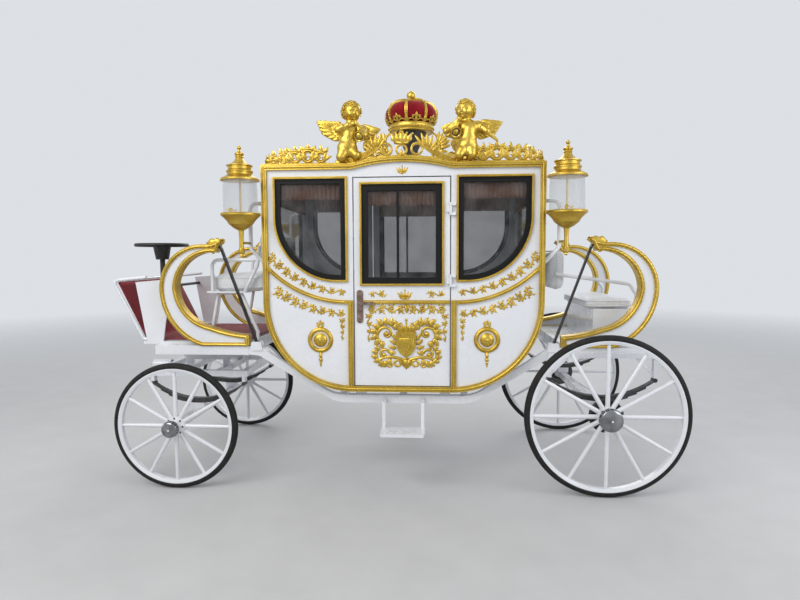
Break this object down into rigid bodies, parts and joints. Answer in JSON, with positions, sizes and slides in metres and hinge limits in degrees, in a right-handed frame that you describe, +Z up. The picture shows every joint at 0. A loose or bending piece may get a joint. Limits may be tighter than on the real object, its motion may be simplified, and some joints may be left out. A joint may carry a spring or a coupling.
{
  "type": "closed horse-drawn state carriage",
  "caption": "Closed four-wheeled carriage on a crane-neck frame, with a steering fore-carriage, two hinged doors, lamps, cresting, a roof crown and outside seats.",
  "frame": {"origin": "on the ground under the middle of the cabin", "axes": "+Z up, the front looks along -X, the left side along -Y"},
  "size_m": [4.1499, 1.762, 2.92],
  "materials": {
    "white_paint": "gloss white",
    "black_paint": "satin black",
    "gold_paint": "metallic gold over carved relief",
    "red_velvet": "velvet",
    "red_carpet": "short pile",
    "black_rubber": "moulded seal",
    "tyre_rubber": "solid tyre",
    "tinted_glass": "tinted",
    "clear_glass": "clear",
    "black_leather": "thoroughbrace leather",
    "white_leather": "soft upholstery",
    "grey_leather": "soft upholstery",
    "black_plastic": "moulded",
    "aged_brass": "antique"
  },
  "bodies": {
    "carriage": {"cabin_benches": "grey_leather", "cabin_floor": "white_paint", "cabin_front_wall": "white_paint", "cabin_rear_wall": "white_paint", "cabin_side_left": "white_paint", "cabin_side_right": "white_paint", "cherubs": "gold_paint", "consoles": "white_paint", "cresting_ends": "gold_paint", "cresting_sides": "gold_paint", "crown_cap": "red_velvet", "crown_metal": "gold_paint", "crown_stand": "black_paint", "dash_frame": "white_paint", "footwell_lining": "red_carpet", "front_platform": "white_paint", "hand_wheel": "black_plastic", "lamp_brackets": "white_paint", "lamp_glasses": "clear_glass", "lamps": "gold_paint", "perch_frame": "white_paint", "rear_axle": "white_paint", "rear_platform": "white_paint", "rear_seat_box": "white_paint", "rear_springs": "black_paint", "roof": "white_paint", "scroll_mouldings": "gold_paint", "scrolls": "white_paint", "seat_backrests": "white_leather", "seat_cushions": "white_leather", "seat_frames": "white_paint", "side_moulding_left": "gold_paint", "side_moulding_right": "gold_paint", "straps": "black_leather", "window_glass": "tinted_glass", "window_seals": "black_rubber"},
    "fore_carriage": {"fore_frame": "white_paint", "front_axle": "white_paint", "front_springs": "black_paint"},
    "front_wheel_left": {"wheel_front_left": "white_paint", "tyre_front_left": "tyre_rubber"},
    "front_wheel_right": {"wheel_front_right": "white_paint", "tyre_front_right": "tyre_rubber"},
    "rear_wheel_left": {"wheel_rear_left": "white_paint", "tyre_rear_left": "tyre_rubber"},
    "rear_wheel_right": {"wheel_rear_right": "white_paint", "tyre_rear_right": "tyre_rubber"},
    "left_door": {"door_left": "white_paint", "door_glass_left": "tinted_glass", "door_moulding_left": "gold_paint", "door_handle_left": "aged_brass"},
    "right_door": {"door_right": "white_paint", "door_glass_right": "tinted_glass", "door_moulding_right": "gold_paint", "door_handle_right": "aged_brass"}
  },
  "joints": [
    {"name": "steering", "type": "hinge", "parent": "carriage", "child": "fore_carriage", "pos_m": [-1.584, 0, 0.842], "axis": [0, 0, 1], "range_deg": [-35, 35]},
    {"name": "spin_front_left", "type": "hinge", "parent": "fore_carriage", "child": "front_wheel_left", "pos_m": [-1.584, -0.76, 0.445], "axis": [0, 1, 0], "continuous": true},
    {"name": "spin_front_right", "type": "hinge", "parent": "fore_carriage", "child": "front_wheel_right", "pos_m": [-1.584, 0.76, 0.445], "axis": [0, 1, 0], "continuous": true},
    {"name": "spin_rear_left", "type": "hinge", "parent": "carriage", "child": "rear_wheel_left", "pos_m": [1.377, -0.76, 0.55], "axis": [0, 1, 0], "continuous": true},
    {"name": "spin_rear_right", "type": "hinge", "parent": "carriage", "child": "rear_wheel_right", "pos_m": [1.377, 0.76, 0.55], "axis": [0, 1, 0], "continuous": true},
    {"name": "door_left_swing", "type": "hinge", "parent": "carriage", "child": "left_door", "pos_m": [0.336, -0.645, 1.44], "axis": [0, 0, 1], "range_deg": [0, 90]},
    {"name": "door_right_swing", "type": "hinge", "parent": "carriage", "child": "right_door", "pos_m": [0.336, 0.645, 1.44], "axis": [0, 0, -1], "range_deg": [0, 90]}
  ]
}
